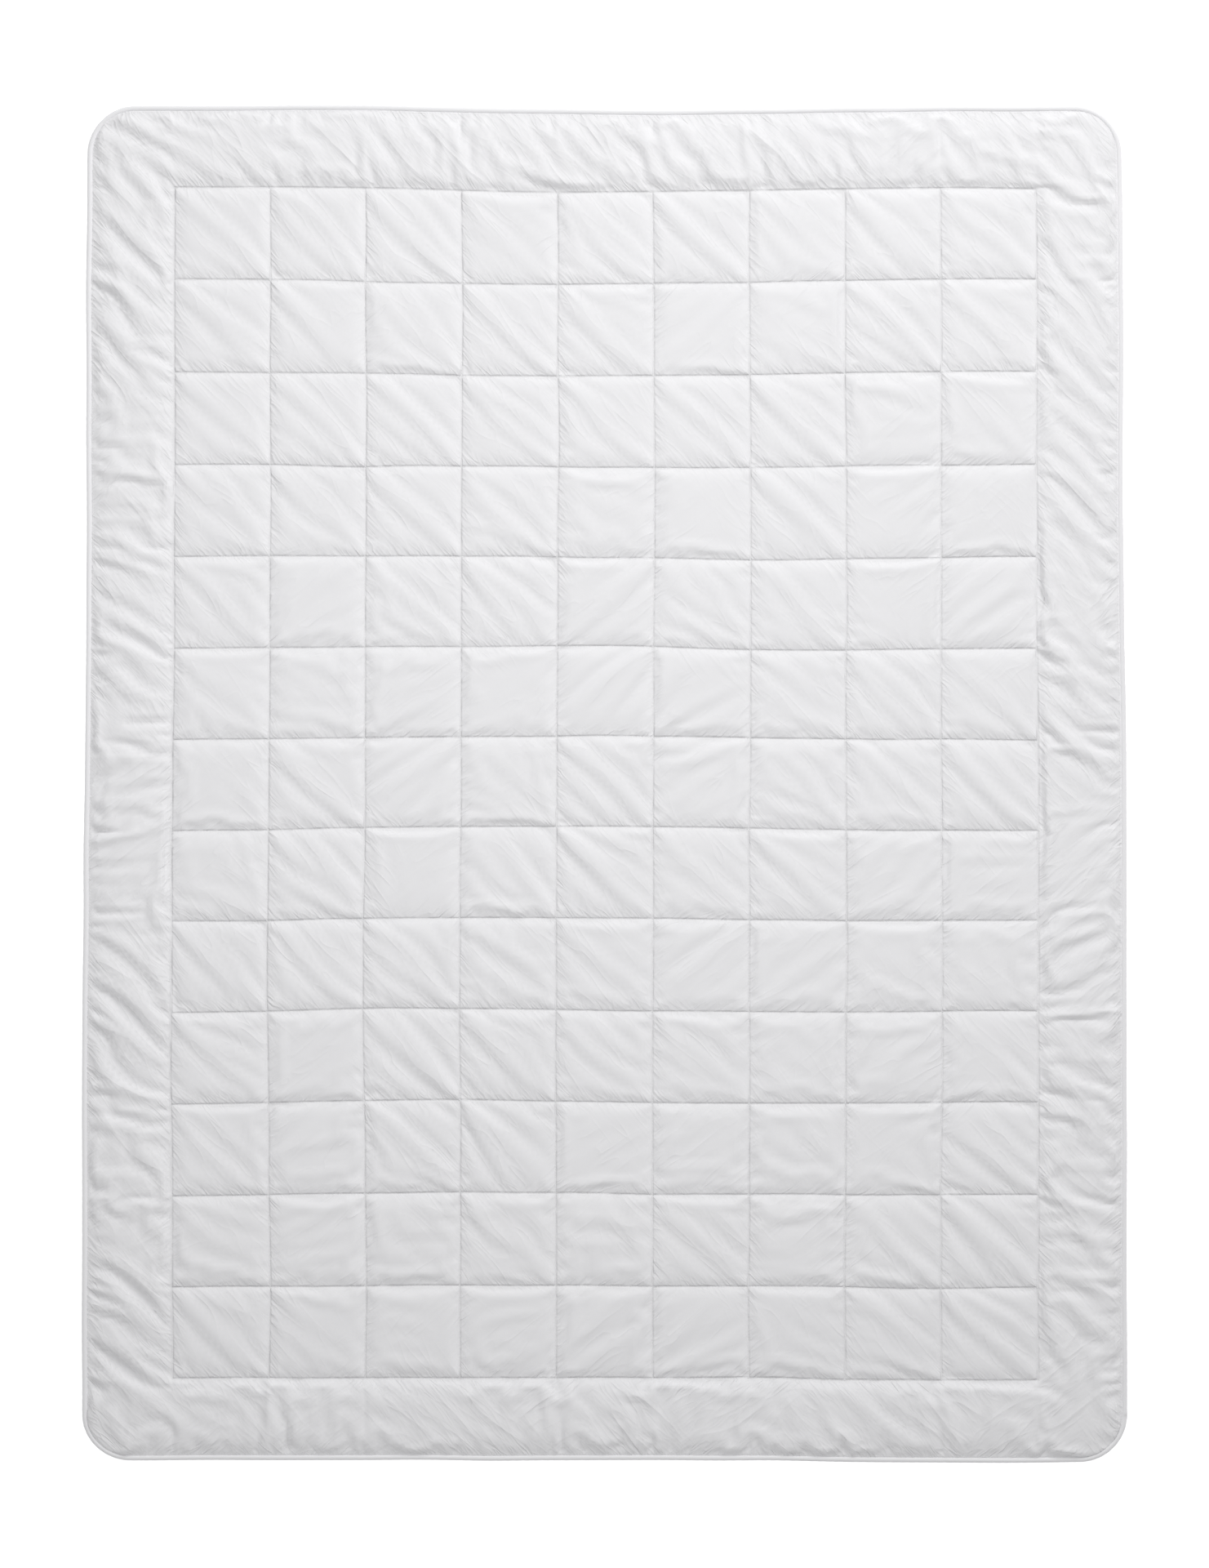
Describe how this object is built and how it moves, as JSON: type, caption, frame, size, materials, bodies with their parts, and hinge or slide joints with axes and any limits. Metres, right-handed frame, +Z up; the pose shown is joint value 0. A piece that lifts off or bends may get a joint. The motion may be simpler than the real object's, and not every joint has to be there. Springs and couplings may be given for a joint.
{
  "type": "duvet",
  "caption": "White duvet quilted in squares, with a plain padded border, rounded corners and a piped edge, laid flat; its head end folds back.",
  "frame": {"origin": "on the floor, under the middle of the duvet", "axes": "+Y towards the head end, +Z up out of the face cloth, +X to the right when seen from above with the head end at the top"},
  "size_m": [1.54, 2, 0.02],
  "materials": {
    "shell_cloth": "soft matt white microfibre, plain weave",
    "piping_cloth": "the same cloth cut on the bias",
    "wadding": "white polyester batt, matt and fibrous",
    "piping_cord": "soft white twisted cord",
    "sewing_thread": "white polyester thread with a slight lustre",
    "label_ribbon": "white satin ribbon, blank"
  },
  "bodies": {
    "main": {"face_cloth_main": "shell_cloth", "wadding_main": "wadding", "back_cloth_main": "shell_cloth", "piping_cord_main": "piping_cord", "piping_cover_main": "piping_cloth", "edge_seam_thread_main": "sewing_thread", "column_thread_01_main": "sewing_thread", "column_thread_02_main": "sewing_thread", "column_thread_03_main": "sewing_thread", "column_thread_04_main": "sewing_thread", "column_thread_05_main": "sewing_thread", "column_thread_06_main": "sewing_thread", "column_thread_07_main": "sewing_thread", "column_thread_08_main": "sewing_thread", "column_thread_09_main": "sewing_thread", "column_thread_10_main": "sewing_thread", "row_thread_03": "sewing_thread", "row_thread_04": "sewing_thread", "row_thread_05": "sewing_thread", "row_thread_06": "sewing_thread", "row_thread_07": "sewing_thread", "row_thread_08": "sewing_thread", "row_thread_09": "sewing_thread", "row_thread_10": "sewing_thread", "row_thread_11": "sewing_thread", "row_thread_12": "sewing_thread", "row_thread_13": "sewing_thread", "row_thread_14": "sewing_thread", "care_label": "label_ribbon"},
    "turnback": {"face_cloth_turnback": "shell_cloth", "wadding_turnback": "wadding", "back_cloth_turnback": "shell_cloth", "piping_cord_turnback": "piping_cord", "piping_cover_turnback": "piping_cloth", "edge_seam_thread_turnback": "sewing_thread", "column_thread_01_turnback": "sewing_thread", "column_thread_02_turnback": "sewing_thread", "column_thread_03_turnback": "sewing_thread", "column_thread_04_turnback": "sewing_thread", "column_thread_05_turnback": "sewing_thread", "column_thread_06_turnback": "sewing_thread", "column_thread_07_turnback": "sewing_thread", "column_thread_08_turnback": "sewing_thread", "column_thread_09_turnback": "sewing_thread", "column_thread_10_turnback": "sewing_thread", "row_thread_01": "sewing_thread", "row_thread_02": "sewing_thread"}
  },
  "joints": [
    {"name": "turn_back", "type": "hinge", "parent": "main", "child": "turnback", "pos_m": [0, 0.609, 0.024], "axis": [1, 0, 0], "range_deg": [0, 180]}
  ]
}
